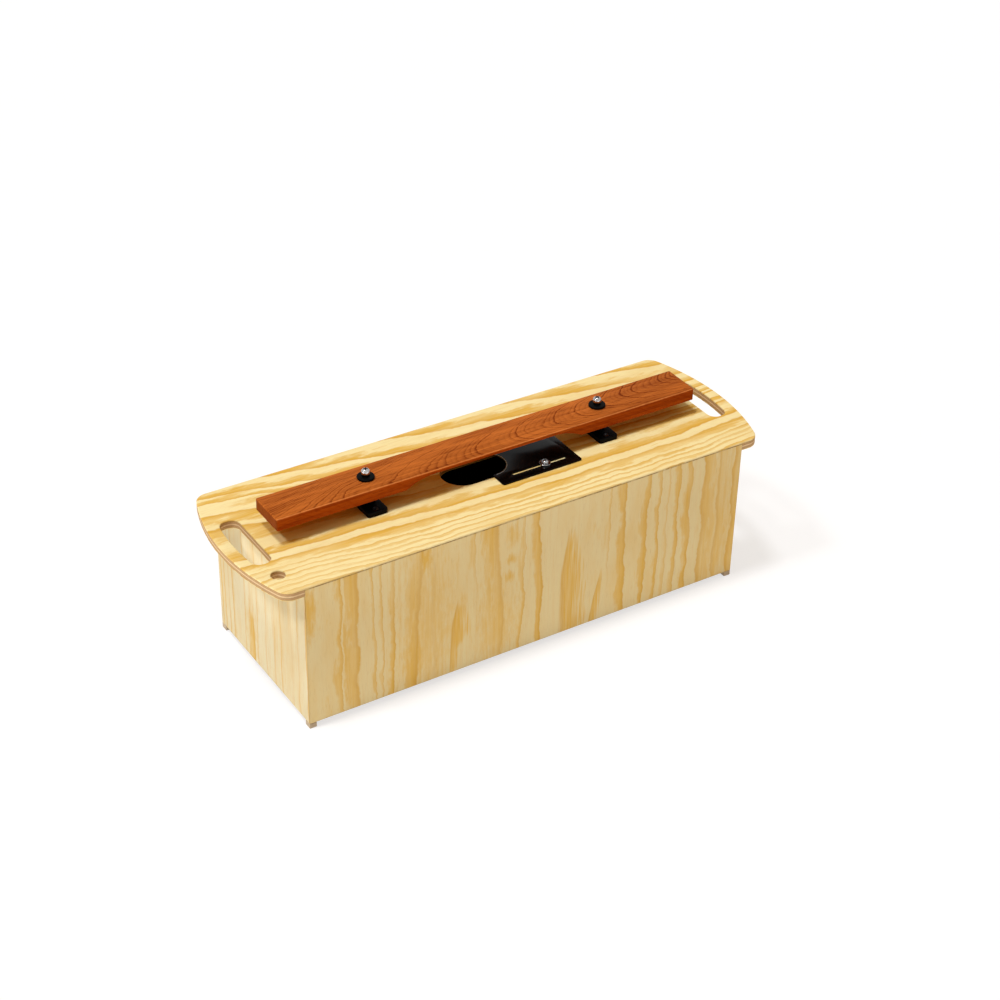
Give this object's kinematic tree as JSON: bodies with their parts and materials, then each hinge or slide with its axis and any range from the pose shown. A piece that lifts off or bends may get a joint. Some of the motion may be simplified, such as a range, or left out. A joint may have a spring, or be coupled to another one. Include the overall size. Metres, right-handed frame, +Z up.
{
  "type": "resonator bar",
  "caption": "Single tone bar, undercut in the middle, held on cushioned supports over a plywood resonance box with hand slots and a tuning slider across its sound hole.",
  "frame": {"origin": "on the floor under the middle of the box, at the underside of the feet", "axes": "+X along the bar and the box towards the slider's end, +Y from the front panel to the back panel, +Z up"},
  "size_m": [0.7946, 0.261, 0.2818],
  "materials": {
    "plywood": "satin pine plywood",
    "hardwood": "oiled red-brown hardwood",
    "black_plastic": "moulded matt black",
    "black_sheet": "satin black sheet",
    "rubber": "soft black",
    "nickel": "nickel plated",
    "dark_steel": "blackened",
    "foot_pad": "grey-beige pad"
  },
  "bodies": {
    "box": {"top_plate": "plywood", "front_panel": "plywood", "back_panel": "plywood", "left_side_panel": "plywood", "right_side_panel": "plywood", "bottom_panel": "plywood", "foot_front_left": "foot_pad", "foot_front_right": "foot_pad", "foot_back_left": "foot_pad", "foot_back_right": "foot_pad", "left_bar_support": "black_plastic", "right_bar_support": "black_plastic", "left_support_screw_front": "dark_steel", "left_support_screw_back": "dark_steel", "right_support_screw_front": "dark_steel", "right_support_screw_back": "dark_steel", "left_bar_cushion": "rubber", "right_bar_cushion": "rubber", "left_bar_sleeve": "black_plastic", "right_bar_sleeve": "black_plastic", "left_bar_screw": "nickel", "right_bar_screw": "nickel"},
    "bar": {"tone_bar": "hardwood", "left_bar_grommet": "rubber", "right_bar_grommet": "rubber"},
    "slider": {"tuning_slider": "black_sheet"},
    "front_lock": {"slider_screw_front": "nickel", "slider_washer_front": "nickel"},
    "back_lock": {"slider_screw_back": "nickel", "slider_washer_back": "nickel"}
  },
  "joints": [
    {"name": "slider_travel", "type": "slide", "parent": "box", "child": "slider", "axis": [1, 0, 0], "range_m": [-0.032, 0.044]},
    {"name": "front_lock_turn", "type": "hinge", "parent": "box", "child": "front_lock", "pos_m": [0.0735, -0.0398, 0.2306], "axis": [0, 0, 1], "range_deg": [0, 360]},
    {"name": "back_lock_turn", "type": "hinge", "parent": "box", "child": "back_lock", "pos_m": [0.0735, 0.0398, 0.2306], "axis": [0, 0, 1], "range_deg": [0, 360]},
    {"name": "bar_lift", "type": "slide", "parent": "box", "child": "bar", "axis": [0, 0, 1], "range_m": [0, 0.0033]}
  ]
}
